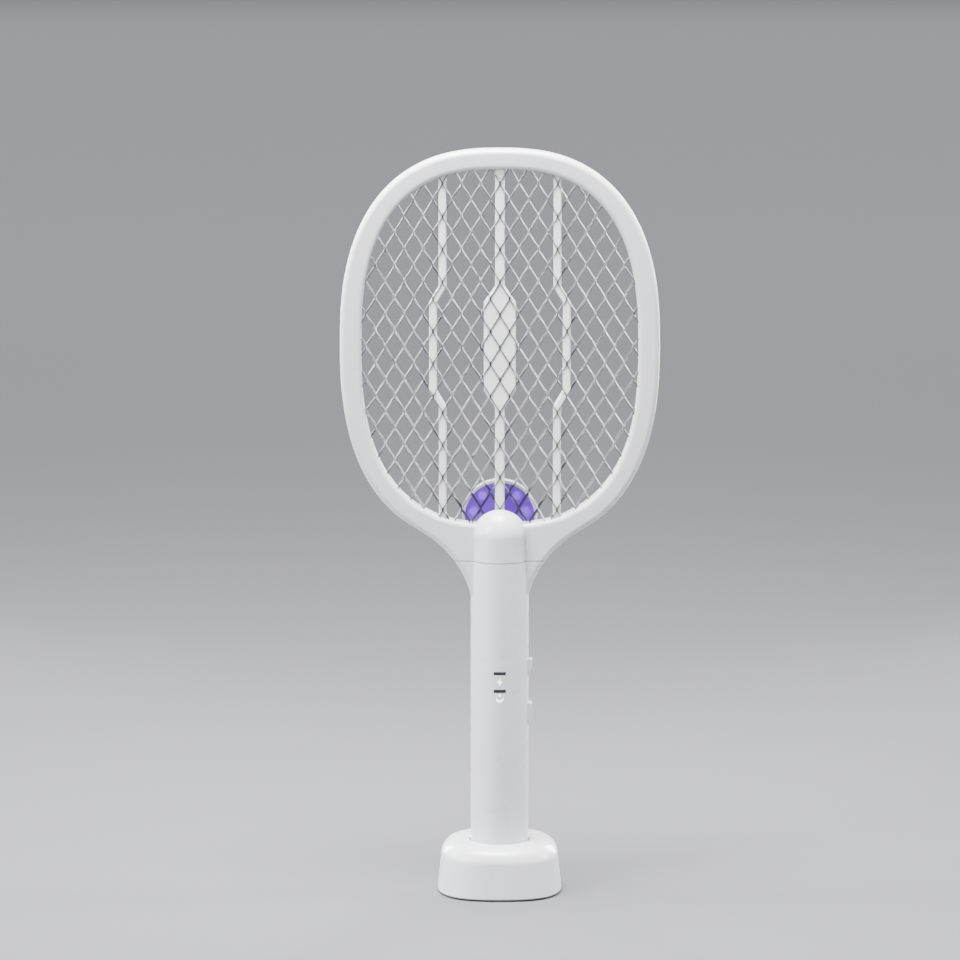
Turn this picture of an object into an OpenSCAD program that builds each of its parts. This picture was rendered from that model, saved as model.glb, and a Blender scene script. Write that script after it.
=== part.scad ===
// Electric fly swatter standing in its charging dock.
// Millimetres, +Z up, front face towards -Y, origin on the table under the middle of the dock.

/* [Head] */
// Width of the net head
head_w = 180; // [160:1:200]
// Height of the top of the head above the table
head_top_z = 425; // [415:1:435]
// Height of the widest line of the head
head_mid_z = 314.3; // [305:0.1:320]
// Thickness of the head, front face to back face
head_t = 14; // [13:0.5:18]
// Width of the plastic band round the net
band_w = 11.8; // [11:0.1:13]
// Wall of the two head mouldings
head_wall = 2; // [1.6:0.1:2.2]

/* [Net] */
// Width of one diamond of the net
diamond_w = 10.77; // [9:0.01:13]
// Height of one diamond of the net
diamond_h = 18.5; // [15:0.1:22]
// Width of a metal strand
strand_w = 0.8; // [0.6:0.1:1.2]
// Thickness of the metal sheet
sheet_t = 0.6; // [0.4:0.1:0.8]
// Width of the middle rib
mid_rib_w = 5.4; // [4:0.1:7]
// Width of the two side ribs
side_rib_w = 4.3; // [3:0.1:6]
// Width of the lozenge in the middle rib
lozenge_w = 18; // [14:0.5:20]

/* [Handle] */
// Outer diameter of the handle
handle_d = 33; // [31:0.5:35]
// Wall of the handle mouldings
handle_wall = 2; // [1.6:0.1:2.4]
// Height of the joint line between head and handle
seam_z = 191.8; // [188:0.1:195]
// Height of the handle's lower end in the dock
handle_z = 11; // [10:0.5:13]
// Height of the press button's centre
button_z = 103; // [100:0.5:104]
// How far the press button travels
button_travel = 1.2; // [0.8:0.1:1.3]
// Height of the mode slider's centre
slider_z = 130; // [129:0.5:130]
// How far the mode slider travels each way
slider_travel = 2; // [1:0.1:2.2]

/* [Dock] */
// Width of the dock
dock_w = 71; // [66:1:78]
// Depth of the dock
dock_d = 69; // [66:1:76]
// Height of the dock
dock_h = 29.5; // [28:0.5:34]
// Radius of the dock's top edge
dock_round = 10; // [6:0.5:11]
// How far each side of the dock leans in below its round edge
dock_draft = 2; // [1:0.1:3]
// How far a charge pin is pressed down
pin_travel = 1; // [0.5:0.1:1.2]

/* [Hidden] */
$fn = 64;

// Head outline: a superellipse, a short straight flank, and a hollow arc that runs into the handle.
handle_r = handle_d / 2;
bore_r = handle_r - handle_wall;
half_t = head_t / 2;
head_a = head_w / 2;
head_up = head_top_z - head_mid_z;
head_down = 114.2;
head_n = 2.5;
flank_angle = 57.5;
flank_len = 11;
throat_r = 59;
outline_steps = 96;

// Opening of the head: its own superellipse, a little squarer.
open_a = head_a - band_w;
open_mid_z = 312;
open_up = head_top_z - band_w + 0.6 - open_mid_z;
open_down = 100;
open_n = 2.6;
net_margin = 3;
net_rim = 1.6;

// Layers from the front face to the mid plane.
net_y = -half_t + head_wall;
live_half = 0.4;
carrier_t = -net_y - sheet_t - live_half;

// Net joint at the lozenge's middle; the ribs step outwards where the lozenge tapers.
joint_z = 313.2;
step_x = diamond_w / 2;
step_z = diamond_h / 2;
lozenge_half = 25;
lozenge_tip = 9;

// Dome where the handle ends on the front of the head, and lamp pod on its back.
dome_z = 205;
pod_z = 214.5;
pod_r = 21.5;
pod_wall = 1.6;
pod_back = 17;
pod_round = 4;
lens_t = 1.5;
lamp_board_y = 13;
led_ring = 15;
led_r = 2;
led_angles = [10, 50, 90, 130, 170];

// Fasteners.
screw_r = 1.1;
screw_head_r = 2.1;
screw_head_t = 1.4;
head_screw_inset = 5.1;
head_screw_angles = [90, 45, 0, -38, 135, 180, 218];
throat_screws_xz = [[-25, 201], [25, 201]];
handle_screws_xz = [[0, 20.5], [0, 94.6], [-8, 180], [8, 180]];
handle_screw_seat = 11;
post_r = 2.4;
wide_post_r = 3.4;
neck_r = bore_r - 0.3;
neck_wall = 1.8;
neck_bottom = 168;
seam_gap = 0.3;
cap_flange = 2;
cap_plug = 3.5;
contact_x = 5.5;
contact_r = 2.1;
contact_z = handle_z + 1;
contact_t = 0.4;

// Electronics inside the handle.
board_y = 3;
board_t = 1.6;
board_bottom = 98.5;
board_top = 166;
board_half = 13;
cell_r = 9.1;
cell_bottom = 26.2;
cell_len = 64.4;
tab_t = 0.3;
pipe_z = [128.4, 118.2];
pipe_w = 7;
pipe_h = 2;
wire_r = 0.7;
wire_sides = 8;
bend_r = 1.2;
button_h = 12.4;
button_w = 9;
button_proud = 1.9;
flange_x = 12.2;
knob_h = 8;
knob_w = 8;
knob_proud = 2.1;

// Dock inside.
dock_n = 2.7;
dock_wall = 2.2;
dock_rim_z = 0.8;
dock_edge = 1;
dock_steps = 60;
plate_inset = 2.9;
plate_top = 3.4;
pad_t = 1.6;
pad_inset = 6;
socket_r = handle_r + 0.6;
socket_wall = 2;
socket_mouth = 1.3;
dock_screw_xy = [22, 19.5];
dock_board_z = 4.2;
dock_board_t = 1.2;
dock_board_top = dock_board_z + dock_board_t;
inlet_w = 9;
inlet_h = 3.2;
inlet_front = dock_d / 2 - 0.9;
pin_r = 0.8;
barrel_r = 1.3;

function sgn_pow(v, p) = sign(v) * pow(abs(v), p);
function superellipse(a, up, down, n, mid, t) = [
    a * sgn_pow(cos(t), 2 / n),
    mid + (sin(t) < 0 ? down : up) * sgn_pow(sin(t), 2 / n)
];
function head_point(t, inset) =
    superellipse(head_a - inset, head_up - inset, head_down - inset, head_n, head_mid_z, t);
function open_loop(grow) = [
    for (i = [0 : outline_steps - 1])
        superellipse(open_a + grow, open_up + grow, open_down + grow, open_n, open_mid_z,
            360 * i / outline_steps)
];

// The superellipse is left where its tangent leans by flank_angle from the vertical.
flank_ratio = pow(tan(flank_angle) * head_down / head_a, 1 / (head_n - 1));
flank_u = pow(1 + pow(flank_ratio, head_n), -1 / head_n);
flank_start = [head_a * flank_u, head_mid_z - head_down * flank_u * flank_ratio];
flank_end = flank_start - flank_len * [sin(flank_angle), cos(flank_angle)];
throat_c = flank_end + throat_r * [cos(flank_angle), -sin(flank_angle)];
flank_t = -asin(pow(flank_u * flank_ratio, head_n / 2));
throat_end = acos((throat_c[0] - handle_r) / throat_r);

function right_side(inset) = concat(
    [for (i = [0 : outline_steps / 2]) head_point(90 + (flank_t - 90) * 2 * i / outline_steps, inset)],
    [for (i = [0 : 16]) let (t = flank_angle + (throat_end - flank_angle) * i / 16)
        throat_c + (throat_r + inset) * [-cos(t), sin(t)]]
);
function mirrored(points) = [for (i = [len(points) - 1 : -1 : 1]) [-points[i][0], points[i][1]]];
function outline_loop(inset) = concat(right_side(inset), mirrored(right_side(inset)));

// Extrudes an outline drawn in X and Z from y0 to y1.
module slab(y0, y1) {
    translate([0, y1, 0]) rotate([90, 0, 0]) linear_extrude(y1 - y0) children();
}
module box(low, high) {
    translate(low) cube(high - low);
}
module rod_y(x, z, r, y0, y1) {
    translate([x, y1, z]) rotate([90, 0, 0]) cylinder(r = r, h = y1 - y0);
}
module rod_x(y, z, r, x0, x1) {
    translate([x0, y, z]) rotate([0, 90, 0]) cylinder(r = r, h = x1 - x0);
}
module rod_z(x, y, r, z0, z1) {
    translate([x, y, z0]) cylinder(r = r, h = z1 - z0);
}
module tube_z(r_out, r_in, z0, z1) {
    difference() {
        rod_z(0, 0, r_out, z0, z1);
        rod_z(0, 0, r_in, z0 - 1, z1 + 1);
    }
}
// Rounded rectangle in X and Y, from squares and circles.
module rounded(w, h, r) {
    square([w - 2 * r, h], center = true);
    square([w, h - 2 * r], center = true);
    for (x = [-1, 1], y = [-1, 1]) translate([x * (w / 2 - r), y * (h / 2 - r)]) circle(r);
}
// A wire along a route: each corner becomes a small curve, and a ring of points is swept along it.
function unit(v) = v / norm(v);
function round_route(p) = concat(
    [p[0]],
    [for (i = [1 : len(p) - 2])
        let (a = unit(p[i - 1] - p[i]) * bend_r, b = unit(p[i + 1] - p[i]) * bend_r)
        each [p[i] + a, p[i] + (a + b) / 4, p[i] + b]],
    [p[len(p) - 1]]
);
function tangent(p, i) =
    let (
        before = i > 0 ? unit(p[i] - p[i - 1]) : [0, 0, 0],
        after = i < len(p) - 1 ? unit(p[i + 1] - p[i]) : [0, 0, 0]
    ) unit(before + after);
// The sideways direction of each ring, carried along the route so that the tube doesn't twist.
function side_vectors(p, i, last) =
    let (t = tangent(p, i), u = unit(last - t * (last * t)))
    i == len(p) - 1 ? [u] : concat([u], side_vectors(p, i + 1, u));
module wire(route, r) {
    p = round_route(route);
    u = side_vectors(p, 0, [1, 0, 0]);
    loft([for (i = [0 : len(p) - 1]) let (v = cross(tangent(p, i), u[i]))
        [for (a = [0 : 360 / wire_sides : 359]) p[i] + r * (cos(a) * u[i] + sin(a) * v)]]);
}
// A closed solid through rings of points that all have the same number of corners.
module loft(rings) {
    n = len(rings[0]);
    last = len(rings) - 1;
    polyhedron(
        points = [for (ring = rings) for (p = ring) p],
        faces = concat(
            [[for (i = [0 : n - 1]) i]],
            [[for (i = [n - 1 : -1 : 0]) last * n + i]],
            [for (k = [0 : last - 1]) for (i = [0 : n - 1]) let (j = (i + 1) % n)
                [k * n + j, k * n + i, (k + 1) * n + i]],
            [for (k = [0 : last - 1]) for (i = [0 : n - 1]) let (j = (i + 1) % n)
                [k * n + j, (k + 1) * n + i, (k + 1) * n + j]]
        )
    );
}

// ---- Head ----

module head_2d(inset) {
    polygon(outline_loop(inset));
}
module opening_2d(grow) {
    polygon(open_loop(grow));
}
// What lies above a level in the X and Z plane, or below it.
module above_2d(level) {
    translate([-head_a - 10, level]) square([head_w + 20, head_top_z]);
}
module below_2d(level) {
    translate([-head_a - 10, 0]) square([head_w + 20, level]);
}
module dome(r, low) {
    rod_z(0, 0, r, low, dome_z);
    translate([0, 0, dome_z]) sphere(r);
}
function head_screws_xz() = concat(
    [for (t = head_screw_angles) head_point(t, head_screw_inset)], throat_screws_xz
);
// The front half of the head without its round end: a face with an outer wall and a floor.
module head_half() {
    difference() {
        slab(-half_t, 0) intersection() {
            head_2d(0);
            above_2d(seam_z);
        }
        slab(-half_t - 1, 1) opening_2d(0);
        slab(net_y, 1) intersection() {
            head_2d(head_wall);
            above_2d(seam_z + head_wall);
        }
    }
}
// Half of the tube that reaches down into the handle, with room for the handle's screw posts.
module neck_half() {
    intersection() {
        union() {
            tube_z(neck_r, neck_r - neck_wall, neck_bottom, seam_z + 1);
            tube_z(bore_r + 0.5, neck_r - neck_wall, seam_z, seam_z + 5);
        }
        difference() {
            box([-handle_r, -handle_r, 0], [handle_r, 0, head_top_z]);
            for (p = handle_screws_xz) rod_y(p[0], p[1], wide_post_r + 0.3, -handle_r - 1, 1);
        }
    }
}
module head_front_frame() {
    color("white") difference() {
        union() {
            difference() {
                union() {
                    head_half();
                    intersection() {
                        dome(handle_r, seam_z);
                        box([-handle_r, -handle_r, seam_z], [handle_r, net_y, head_top_z]);
                    }
                }
                dome(bore_r, seam_z - 1);
            }
            neck_half();
            for (p = head_screws_xz()) rod_y(p[0], p[1], post_r, net_y - 0.5, 0);
        }
        for (p = head_screws_xz()) rod_y(p[0], p[1], screw_r + 0.05, net_y + 0.4, 1);
    }
}
module head_rear_frame() {
    color("white") difference() {
        union() {
            difference() {
                union() {
                    mirror([0, 1, 0]) head_half();
                    intersection() {
                        rod_z(0, 0, handle_r, seam_z, dome_z);
                        box([-handle_r, -net_y, seam_z], [handle_r, handle_r, dome_z]);
                    }
                }
                rod_z(0, 0, bore_r, seam_z - 1, dome_z + 1);
            }
            mirror([0, 1, 0]) neck_half();
            for (p = head_screws_xz()) rod_y(p[0], p[1], post_r + 0.2, 0, -net_y + 0.5);
        }
        rod_y(0, pod_z, pod_r + 0.1, half_t, handle_r + 1);
        for (p = head_screws_xz()) {
            rod_y(p[0], p[1], screw_r + 0.2, -1, half_t + 1);
            rod_y(p[0], p[1], screw_head_r + 0.3, half_t - screw_head_t - 0.2, half_t + 1);
        }
    }
}
// A cross-head screw along Y, its head towards the back.
module screw_y(x, z, tip, seat) {
    top = seat + screw_head_t;
    rod_y(x, z, screw_r, tip, seat);
    difference() {
        rod_y(x, z, screw_head_r, seat, top);
        for (size = [[2.6, 0.6], [0.6, 2.6]])
            box([x - size[0] / 2, top - 0.8, z - size[1] / 2], [x + size[0] / 2, top + 1, z + size[1] / 2]);
    }
}
module head_screws() {
    color("silver") for (p = head_screws_xz())
        screw_y(p[0], p[1], net_y + 0.6, half_t - screw_head_t - 0.2);
}

// ---- Nets ----

// Sheet with diamonds cut out, and a plain rim that the head clamps.
module net_2d(margin) {
    columns = ceil(head_a / step_x);
    rows = ceil(open_down / step_z) + 1;
    hole_x = step_x - strand_w / 2 / cos(30);
    hole_z = step_z - strand_w / 2 / sin(30);
    difference() {
        opening_2d(margin);
        intersection() {
            opening_2d(margin - net_rim);
            union() for (i = [-columns : columns], k = [-rows : rows]) if ((i + k) % 2 != 0) {
                translate([i * step_x, joint_z + k * step_z])
                    polygon([[hole_x, 0], [0, hole_z], [-hole_x, 0], [0, -hole_z]]);
            }
        }
    }
}
module front_net() {
    color("silver") slab(net_y, net_y + sheet_t) net_2d(net_margin);
}
module rear_net() {
    color("silver") slab(-net_y - sheet_t, -net_y) net_2d(net_margin);
}
module live_net() {
    color("gainsboro") slab(-live_half, live_half) net_2d(net_margin);
}

// ---- Rib carriers, which hold the nets apart ----

module side_ribs_2d() {
    line = [
        [3 * diamond_w, head_top_z],
        [3 * diamond_w, joint_z + lozenge_half + lozenge_tip],
        [3.5 * diamond_w, joint_z + lozenge_half],
        [3.5 * diamond_w, joint_z - lozenge_half],
        [3 * diamond_w, joint_z - lozenge_half - lozenge_tip],
        [3 * diamond_w, seam_z]
    ];
    for (side = [-1, 1]) polygon(concat(
        [for (p = line) [side * p[0] - side_rib_w / 2, p[1]]],
        [for (i = [len(line) - 1 : -1 : 0]) [side * line[i][0] + side_rib_w / 2, line[i][1]]]
    ));
}
module mid_rib_2d() {
    half = [
        [mid_rib_w / 2, lozenge_half + lozenge_tip],
        [lozenge_w / 2, lozenge_half],
        [lozenge_w / 2, -lozenge_half],
        [mid_rib_w / 2, -lozenge_half - lozenge_tip]
    ];
    translate([-mid_rib_w / 2, seam_z]) square([mid_rib_w, head_top_z - seam_z]);
    translate([0, joint_z]) polygon(concat(half, [for (i = [3 : -1 : 0]) [-half[i][0], half[i][1]]]));
}
module rib_carrier(y0, y1) {
    color("white") slab(y0, y1) {
        difference() {
            opening_2d(net_margin);
            opening_2d(0);
        }
        intersection() {
            opening_2d(0.5);
            union() {
                side_ribs_2d();
                mid_rib_2d();
            }
        }
    }
}
module front_rib_carrier() {
    rib_carrier(-live_half - carrier_t, -live_half);
}
module rear_rib_carrier() {
    rib_carrier(live_half, live_half + carrier_t);
}

// ---- Lamp on the back of the head ----

// A disc along Y with a round back edge.
module pod_disc(r, y0, y1, edge) {
    h = y1 - y0;
    translate([0, y0, pod_z]) rotate([-90, 0, 0]) rotate_extrude() {
        square([r - edge, h]);
        square([r, h - edge]);
        translate([r - edge, h - edge]) intersection() {
            circle(edge);
            square(edge);
        }
    }
}
module lamp_cover() {
    color("white") {
        difference() {
            pod_disc(pod_r, half_t, pod_back, pod_round);
            pod_disc(pod_r - pod_wall, half_t - 1, pod_back - pod_wall, pod_round - pod_wall);
        }
        for (a = [30, 90, 150])
            rod_y(cos(a) * 11, pod_z + sin(a) * 11, 1.5, lamp_board_y + 1.2, pod_back - pod_wall + 0.3);
    }
}
module lamp_lens() {
    color("mediumpurple") intersection() {
        rod_y(0, pod_z, pod_r - pod_wall - 0.1, half_t + 0.1, half_t + 0.1 + lens_t);
        box([-pod_r, 0, 206.5], [pod_r, pod_back, pod_z + pod_r]);
    }
}
module lamp_board() {
    color("darkgreen") intersection() {
        difference() {
            rod_y(0, pod_z, pod_r - pod_wall - 0.4, lamp_board_y, lamp_board_y + 1.2);
            rod_y(0, pod_z, 9, lamp_board_y - 1, lamp_board_y + 3);
        }
        box([-pod_r, 0, pod_z - 3], [pod_r, pod_back, pod_z + pod_r]);
    }
}
module lamp_leds() {
    color("violet") for (a = led_angles) translate([led_ring * cos(a), 0, pod_z + led_ring * sin(a)]) {
        rod_y(0, 0, led_r + 0.4, lamp_board_y - 0.8, lamp_board_y);
        translate([0, lamp_board_y - led_r - 0.1, 0]) sphere(led_r);
    }
}

// ---- Handle ----

// Half of the handle's barrel with the lower part of the head's throat.
module handle_half(y0, y1) {
    low = handle_z + cap_flange;
    top = seam_z - seam_gap;
    inner0 = y0 < 0 ? y0 + head_wall : -1;
    inner1 = y0 < 0 ? 1 : y1 - head_wall;
    side = y0 < 0 ? -1 : 1;
    difference() {
        union() {
            intersection() {
                rod_z(0, 0, handle_r, low, top);
                box([-handle_r, min(0, side * handle_r), 0], [handle_r, max(0, side * handle_r), top]);
            }
            slab(y0, y1) intersection() {
                head_2d(0);
                below_2d(top);
            }
        }
        difference() {
            rod_z(0, 0, bore_r, low - 1, top + 1);
            children();
        }
        slab(inner0, inner1) intersection() {
            head_2d(head_wall);
            below_2d(top + 1);
        }
        barrel_openings();
    }
}
// Openings for the press button and the slider's stem.
module barrel_openings() {
    box([bore_r - 4, -button_w / 2 - 0.25, button_z - button_h / 2 - 0.25],
        [handle_r + 1, button_w / 2 + 0.25, button_z + button_h / 2 + 0.25]);
    box([bore_r - 4, -1.9, slider_z - 2.7 - slider_travel],
        [handle_r + 1, 1.9, slider_z + 2.7 + slider_travel]);
}
// Ribs inside the barrel that hold the cell.
module cell_ribs() {
    for (z = [34, 80]) difference() {
        box([-6, -handle_r + 1, z], [6, handle_r - 1, z + 1.6]);
        rod_z(0, 0, cell_r + 0.1, z - 1, z + 3);
    }
}
module handle_front_shell() {
    color("white") difference() {
        handle_half(-half_t, 0) {
            cell_ribs();
            for (p = handle_screws_xz) rod_y(p[0], p[1], post_r, -handle_r + 1, 1);
        }
        for (p = handle_screws_xz) rod_y(p[0], p[1], screw_r + 0.05, -9, 1);
        for (z = pipe_z) box([-pipe_w / 2, -handle_r - 1, z - pipe_h / 2], [pipe_w / 2, 1, z + pipe_h / 2]);
    }
}
module handle_rear_shell() {
    color("white") difference() {
        handle_half(0, half_t) {
            cell_ribs();
            for (p = handle_screws_xz) rod_y(p[0], p[1], wide_post_r, -1, handle_r - 1);
            for (z = [108, 150]) rod_y(0, z, 2, board_y + board_t, handle_r - 1);
        }
        for (p = handle_screws_xz) {
            rod_y(p[0], p[1], screw_r + 0.2, -2, handle_r + 1);
            rod_y(p[0], p[1], screw_head_r + 0.3, handle_screw_seat, handle_r + 1);
        }
    }
}
module handle_end_cap() {
    floor_top = handle_z + cap_flange;
    color("white") difference() {
        union() {
            rod_z(0, 0, handle_r, handle_z, floor_top);
            rod_z(0, 0, bore_r - 0.2, handle_z, floor_top + cap_plug);
        }
        rod_z(0, 0, bore_r - handle_wall, floor_top, floor_top + cap_plug + 1);
        for (x = [-contact_x, contact_x]) {
            rod_z(x, 0, contact_r + 0.1, handle_z - 1, contact_z + contact_t);
            rod_z(x, 0, pin_r + 0.05, handle_z, floor_top + 1);
        }
    }
}
module charge_contacts() {
    color("gold") for (x = [-contact_x, contact_x]) {
        rod_z(x, 0, contact_r, contact_z, contact_z + contact_t);
        rod_z(x, 0, pin_r, contact_z, contact_z + contact_t + 2);
    }
}
module handle_screws() {
    color("silver") for (p = handle_screws_xz) screw_y(p[0], p[1], -8.5, handle_screw_seat);
}

// ---- Electronics in the handle ----

module battery_cell() {
    color("dodgerblue") {
        rod_z(0, 0, cell_r, cell_bottom, cell_bottom + cell_len - 1);
        rod_z(0, 0, 3, cell_bottom + cell_len - 1.2, cell_bottom + cell_len);
    }
}
module battery_tabs() {
    color("silver") {
        rod_z(0, 0, 6, cell_bottom - tab_t, cell_bottom);
        rod_z(0, 0, 6, cell_bottom + cell_len, cell_bottom + cell_len + tab_t);
    }
}
module main_board() {
    color("darkgreen") difference() {
        box([-board_half, board_y, board_bottom], [board_half, board_y + board_t, board_top]);
        box([9.8, 0, board_bottom - 1], [board_half + 1, 10, button_z + button_h / 2 + 3]);
        for (p = [[-8, 160], [8, 160]]) rod_y(p[0], p[1], 1.2, 0, 10);
    }
}
module step_up_transformer() {
    color("goldenrod") {
        box([-7, -7, 138.5], [7, board_y, 141]);
        box([-7, -7, 151], [7, board_y, 153.5]);
        box([-5, -5.5, 141], [5, board_y, 151]);
    }
}
module high_voltage_capacitor() {
    color("firebrick") box([-8, -4, 154.5], [8, board_y, 160.5]);
}
module board_components() {
    color("dimgray") {
        rod_y(-7.5, 129, 3, -6, board_y);
        rod_y(-8.5, 113, 2, -2.5, board_y);
        rod_y(-1, 133.4, 2.2, -1, board_y);
    }
}
module board_chips() {
    color("black") {
        box([-9.5, board_y - 1.5, 118], [-5.5, board_y, 123]);
        box([-1.5, board_y - 1.5, 100], [2.5, board_y, 105]);
        box([-10.5, board_y - 1.2, 139], [-8.5, board_y, 142]);
    }
}
module slide_switch_housing() {
    color("silver") difference() {
        box([5.5, -2, slider_z - 8], [11.5, board_y, slider_z + 8]);
        box([9.5, -1.1, slider_z - 1.7 - slider_travel], [12, 1.1, slider_z + 1.7 + slider_travel]);
    }
}
module press_switch_housing() {
    color("black") difference() {
        box([4.6, -2, button_z - 2], [9.6, board_y, button_z + 2]);
        rod_x(0, button_z, 1.3, 7.8, 10);
    }
}
module indicator_leds() {
    color("lightyellow") for (z = pipe_z) box([-1.6, board_y - 0.9, z - 0.7], [1.6, board_y, z + 0.7]);
}
// Clear bars that carry the light of the two LEDs to the handle's surface.
module indicator_light_pipes() {
    gap = 0.1;
    color("dimgray") for (z = pipe_z) intersection() {
        box([-pipe_w / 2 + gap, -handle_r, z - pipe_h / 2 + gap],
            [pipe_w / 2 - gap, board_y - 1, z + pipe_h / 2 - gap]);
        rod_z(0, 0, handle_r - gap, z - 2, z + 2);
    }
}
module battery_lead_red() {
    top = cell_bottom + cell_len + tab_t;
    color("red") wire([[-5, 0, top], [-5, 0, 101], [-5, board_y, 101]], wire_r);
}
module battery_lead_black() {
    bottom = cell_bottom - tab_t;
    color("black") wire([[-5, 0, bottom], [-5, 0, 24.3], [-11.8, -1, 24.3], [-11.8, -1, 90],
        [-9, -1, 96], [-9, -1, 104], [-9, board_y, 104]], wire_r);
}
module charge_leads() {
    color("orange") for (side = [-1, 1]) wire([[side * contact_x, 0, contact_z + contact_t + 2],
        [side * contact_x, 0, 17.5], [side * 10.6, 5, 24], [side * 10.6, 5, 88],
        [side * 7, 3.8, 94], [side * 7, 3.8, board_bottom]], wire_r);
}
module high_voltage_leads() {
    rim = open_mid_z - open_down - net_margin;
    color("red") {
        wire([[-3.2, board_y, 163], [-3.2, 0, 163], [-3.2, -4.2, 170], [-3.2, -4.2, rim]], wire_r);
        wire([[0, board_y, 163], [0, 0, 163], [0, 0, rim]], wire_r);
        wire([[3.2, board_y, 163], [3.2, 0, 163], [3.2, 4.2, 170], [3.2, 4.2, rim]], wire_r);
    }
}
module lamp_leads() {
    color("black") for (side = [-1, 1]) wire([[side * 3.4, board_y + board_t, 158], [side * 3.4, 6.2, 158],
        [side * 3.4, 6.2, 197], [side * 8, 9.5, 203], [side * 12, 11, 213.5],
        [side * 12, lamp_board_y, 213.5]], wire_r * 0.8);
}

// ---- Controls on the right side ----

// A block with the given outline in X and Z, from -w/2 to w/2 in Y.
module side_block(z, w, points) {
    translate([0, 0, z]) slab(-w / 2, w / 2) polygon(points);
}
module mode_slider_knob() {
    out = handle_r + knob_proud;
    half = knob_h / 2;
    color("white") {
        difference() {
            side_block(slider_z, knob_w, [[bore_r, half], [out - 0.4, half], [out, half - 0.4],
                [out, 0.5], [handle_r + 0.4, -half], [bore_r, -half]]);
            rod_z(0, 0, handle_r + 0.15, slider_z - knob_h, slider_z + knob_h);
        }
        difference() {
            box([flange_x, -1.6, slider_z - 2.5], [handle_r + 0.6, 1.6, slider_z + 2.5]);
            box([flange_x - 1, -1, slider_z - 1.5], [flange_x + 2, 1, slider_z + 1.5]);
        }
    }
}
module slide_switch_lever() {
    color("black") box([9.8, -1, slider_z - 1.5], [flange_x + 2, 1, slider_z + 1.5]);
}
module press_button() {
    out = handle_r + button_proud;
    half = button_h / 2;
    color("white") {
        side_block(button_z, button_w, [[flange_x, half], [out - 1, half], [out - 0.3, half - 0.3],
            [out, half - 1], [out, -half + 2.6], [out - 1.4, -half], [flange_x, -half]]);
        box([flange_x, -button_w / 2 - 1, button_z - half - 1],
            [flange_x + 1, button_w / 2 + 1, button_z + half + 1]);
    }
}
module press_switch_plunger() {
    color("white") rod_x(0, button_z, 1.2, 9.1, flange_x);
}

// ---- Dock ----

function dock_ring(inset, z) = [
    for (i = [0 : dock_steps - 1])
        let (p = superellipse(dock_w / 2 - inset, dock_d / 2 - inset, dock_d / 2 - inset, dock_n, 0,
            360 * i / dock_steps)) [p[0], p[1], z]
];
// Rings round the top edge, for the outer skin or for the skin one wall further in.
function dock_top_rings(inset) = [
    for (a = [0 : 15 : 90]) dock_ring(
        dock_draft + inset + (dock_round - inset) * (1 - cos(a)),
        dock_h - inset - (dock_round - inset) * (1 - sin(a)))
];
module dock_solid() {
    loft(concat([dock_ring(dock_edge, dock_rim_z), dock_ring(0, dock_rim_z + dock_edge)], dock_top_rings(0)));
}
module dock_inside() {
    loft(concat([dock_ring(dock_wall, dock_rim_z - 1)], dock_top_rings(dock_wall)));
}
module dock_shell() {
    color("white") difference() {
        intersection() {
            dock_solid();
            union() {
                difference() {
                    box([-dock_w, -dock_d, 0], [dock_w, dock_d, dock_h + 1]);
                    dock_inside();
                }
                rod_z(0, 0, socket_r + socket_wall, handle_z - 2, dock_h + 1);
                for (x = [-dock_screw_xy[0], dock_screw_xy[0]], y = [-dock_screw_xy[1], dock_screw_xy[1]])
                    rod_z(x, y, 3, plate_top, dock_h);
            }
        }
        rod_z(0, 0, socket_r, handle_z, dock_h + 2);
        translate([0, 0, dock_h - socket_mouth])
            cylinder(r1 = socket_r, r2 = socket_r + socket_mouth + 0.5, h = socket_mouth + 0.5);
        for (x = [-contact_x, contact_x]) rod_z(x, 0, barrel_r + 0.05, 0, handle_z + 1);
        for (x = [-dock_screw_xy[0], dock_screw_xy[0]], y = [-dock_screw_xy[1], dock_screw_xy[1]])
            rod_z(x, y, screw_r + 0.05, 0, 13);
        box([-inlet_w / 2 - 0.3, dock_d / 2 - 7, dock_board_top - 0.2],
            [inlet_w / 2 + 0.3, dock_d / 2 + 1, dock_board_top + inlet_h + 0.4]);
    }
}
module dock_plan(inset, z0, z1) {
    translate([0, 0, z0]) linear_extrude(z1 - z0)
        polygon([for (p = dock_ring(inset, 0)) [p[0], p[1]]]);
}
module dock_base_plate() {
    color("white") difference() {
        union() {
            dock_plan(plate_inset, pad_t, plate_top);
            for (x = [-8, 8], y = [-8, 18]) rod_z(x, y, 2, plate_top - 0.5, dock_board_z);
        }
        for (x = [-dock_screw_xy[0], dock_screw_xy[0]], y = [-dock_screw_xy[1], dock_screw_xy[1]]) {
            rod_z(x, y, screw_r + 0.2, 0, plate_top + 1);
            rod_z(x, y, screw_head_r + 0.2, 0, pad_t + screw_head_t);
        }
    }
}
module dock_foot_pad() {
    color("gray") dock_plan(pad_inset, 0, pad_t);
}
module dock_screws() {
    seat = pad_t + screw_head_t;
    color("silver")
        for (x = [-dock_screw_xy[0], dock_screw_xy[0]], y = [-dock_screw_xy[1], dock_screw_xy[1]]) {
            rod_z(x, y, screw_r, seat, 12);
            difference() {
                rod_z(x, y, screw_head_r, pad_t, seat);
                for (size = [[2.6, 0.6], [0.6, 2.6]])
                    box([x - size[0] / 2, y - size[1] / 2, 0], [x + size[0] / 2, y + size[1] / 2, pad_t + 0.8]);
            }
        }
}
module dock_board() {
    color("darkgreen") box([-11, -11, dock_board_z], [11, inlet_front - 3, dock_board_top]);
}
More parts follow.
